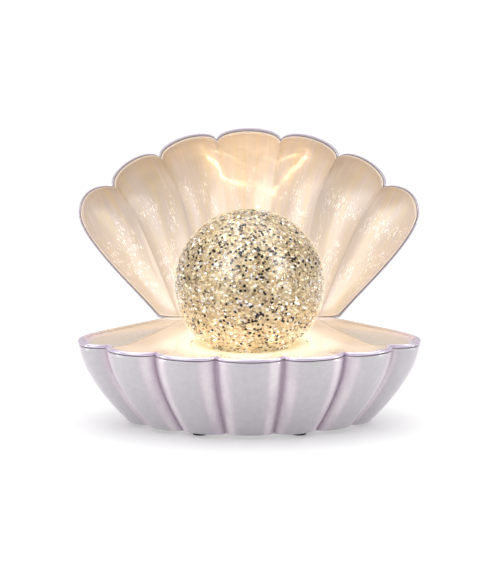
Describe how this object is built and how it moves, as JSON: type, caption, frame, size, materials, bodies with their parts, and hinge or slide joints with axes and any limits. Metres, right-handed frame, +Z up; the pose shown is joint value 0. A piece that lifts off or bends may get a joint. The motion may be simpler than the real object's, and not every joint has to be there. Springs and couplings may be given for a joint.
{
  "type": "glitter globe shell light",
  "caption": "Open scallop-shell tabletop light: a liquid-filled glitter globe sits in the lower shell over a glowing ring, with a fluted upper shell that tilts on a rear hinge.",
  "frame": {"origin": "bottom centre of the bounding box, on the surface the feet stand on", "axes": "+Z up, -Y towards the front that the shell opens to, +X to the right of someone facing the front, along the hinge and the longest side"},
  "size_m": [0.231, 0.2076, 0.1774],
  "materials": {
    "lavender_pearl": "glossy pearl, lavender grey",
    "cream_pearl": "glossy pearl, warm cream",
    "clear_glass": "clear, polished",
    "glitter_liquid": "clear liquid full of gold and silver glitter",
    "frosted_diffuser": "milky, lit from behind",
    "clear_plastic": "clear",
    "silicone": "translucent matt",
    "black_rubber": "matt",
    "white_plastic": "fine moulded texture",
    "black_plastic": "moulded",
    "steel": "plated",
    "magnet": "dull ferrite",
    "motor_can": "plated can",
    "battery_wrap": "plain sleeve",
    "circuit_board": "solder mask",
    "warm_led": "clear dome, warm white",
    "lead_sleeve": "flexible sleeve"
  },
  "bodies": {
    "base": {"lower_shell": "lavender_pearl", "shell_deck": "cream_pearl", "lower_hinge_leaf": "steel", "hinge_pin": "steel", "lower_leaf_screw_left": "steel", "lower_leaf_screw_right": "steel", "globe": "clear_glass", "globe_fluid": "glitter_liquid", "globe_plug": "silicone", "globe_gasket": "black_rubber", "globe_collar": "clear_plastic", "light_ring": "frosted_diffuser", "collar_screw_1": "steel", "collar_screw_2": "steel", "collar_screw_3": "steel", "impeller_pin": "steel", "motor": "motor_can", "motor_bracket": "white_plastic", "bracket_screw_1": "steel", "bracket_screw_2": "steel", "led_board": "circuit_board", "led_1": "warm_led", "led_2": "warm_led", "led_3": "warm_led", "led_4": "warm_led", "base_plate": "white_plastic", "base_screw_1": "steel", "base_screw_2": "steel", "base_screw_3": "steel", "base_screw_4": "steel", "foot_1": "black_rubber", "foot_2": "black_rubber", "foot_3": "black_rubber", "foot_4": "black_rubber", "battery_1": "battery_wrap", "battery_2": "battery_wrap", "battery_3": "battery_wrap", "contact_spring_1": "steel", "contact_spring_2": "steel", "contact_spring_3": "steel", "contact_plate_left": "steel", "contact_plate_right": "steel", "power_switch_body": "black_plastic", "control_board": "circuit_board", "battery_lead": "lead_sleeve", "motor_lead": "lead_sleeve", "led_lead": "lead_sleeve"},
    "upper_shell_body": {"upper_shell": "lavender_pearl", "upper_shell_liner": "cream_pearl", "upper_hinge_leaf": "steel", "upper_leaf_screw_left": "steel", "upper_leaf_screw_right": "steel"},
    "drive_rotor": {"motor_shaft": "steel", "magnet_holder": "white_plastic", "drive_magnet": "magnet"},
    "stirrer": {"impeller": "clear_plastic", "impeller_magnet": "magnet"},
    "switch_slider": {"power_switch_slider": "black_plastic"},
    "battery_cover_body": {"battery_cover": "white_plastic"}
  },
  "joints": [
    {"name": "shell_tilt", "type": "hinge", "parent": "base", "child": "upper_shell_body", "pos_m": [0, 0.0287, 0.058], "axis": [1, 0, 0], "range_deg": [0, 50]},
    {"name": "drive_spin", "type": "hinge", "parent": "base", "child": "drive_rotor", "pos_m": [0, -0.0339, 0.038], "axis": [0, 0, 1], "continuous": true},
    {"name": "impeller_spin", "type": "hinge", "parent": "base", "child": "stirrer", "pos_m": [0, -0.0339, 0.05], "axis": [0, 0, 1], "continuous": true},
    {"name": "power_switch", "type": "slide", "parent": "base", "child": "switch_slider", "axis": [1, 0, 0], "range_m": [0, 0.004]},
    {"name": "battery_cover_twist", "type": "hinge", "parent": "base", "child": "battery_cover_body", "pos_m": [0, -0.0344, 0.0045], "axis": [0, 0, 1], "range_deg": [0, 25]}
  ],
  "couplings": [
    {"joint": "impeller_spin", "follows": "drive_spin", "ratio": 1}
  ]
}
